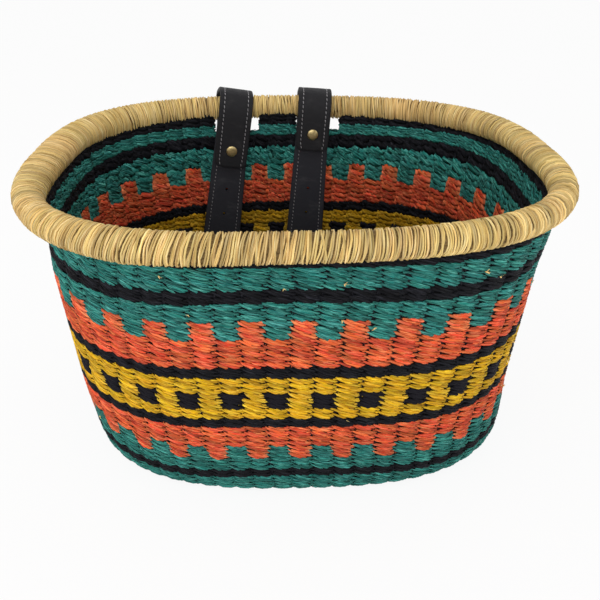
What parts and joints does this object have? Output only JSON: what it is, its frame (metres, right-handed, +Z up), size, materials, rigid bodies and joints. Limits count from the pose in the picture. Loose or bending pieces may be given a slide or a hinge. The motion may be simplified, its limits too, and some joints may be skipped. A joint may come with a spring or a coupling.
{
  "type": "bicycle basket",
  "caption": "Oval twined-straw handlebar basket with banded pattern, straw-wound rim and two leather straps that loop out under the rim and close inside with press studs.",
  "frame": {"origin": "middle of the flat underside of the floor, in the plane the basket stands on", "axes": "+X along the length of the oval, +Y towards the strapped back, +Z up out of the mouth"},
  "size_m": [0.3898, 0.3252, 0.2394],
  "materials": {
    "straw_green": "dyed straw, twined, satin",
    "straw_black": "dyed straw, twined, satin",
    "straw_orange": "dyed straw, twined, satin",
    "straw_yellow": "dyed straw, twined, satin",
    "straw_natural": "undyed straw, wound side by side, satin",
    "strap_leather": "black grained leather, stitched near both edges, satin",
    "stud_brass": "aged brass, worn"
  },
  "bodies": {
    "basket": {"floor_mat": "straw_green", "band_green_foot": "straw_green", "band_black_foot": "straw_black", "band_green_lower": "straw_green", "band_orange_lower": "straw_orange", "band_black_lower": "straw_black", "band_yellow": "straw_yellow", "band_black_upper": "straw_black", "band_orange_upper": "straw_orange", "band_green_upper": "straw_green", "band_black_shoulder": "straw_black", "band_green_top": "straw_green", "band_black_top": "straw_black", "band_black_bridge": "straw_black", "rim_core": "straw_natural", "rim_wrap": "straw_natural", "left_strap_loop": "strap_leather", "left_stud_post": "stud_brass", "left_stud_eyelet": "stud_brass", "right_strap_loop": "strap_leather", "right_stud_post": "stud_brass", "right_stud_eyelet": "stud_brass"},
    "left_flap": {"left_strap_flap": "strap_leather", "left_stud_cap": "stud_brass", "left_stud_socket": "stud_brass"},
    "right_flap": {"right_strap_flap": "strap_leather", "right_stud_cap": "stud_brass", "right_stud_socket": "stud_brass"}
  },
  "joints": [
    {"name": "left_flap_hinge", "type": "hinge", "parent": "basket", "child": "left_flap", "pos_m": [-0.05052, 0.12953, 0.23445], "axis": [-0.9783, -0.1277, 0.1633], "range_deg": [0, 110]},
    {"name": "right_flap_hinge", "type": "hinge", "parent": "basket", "child": "right_flap", "pos_m": [0.02161, 0.13076, 0.2346], "axis": [-0.9979, 0.0141, 0.0628], "range_deg": [0, 110]}
  ]
}
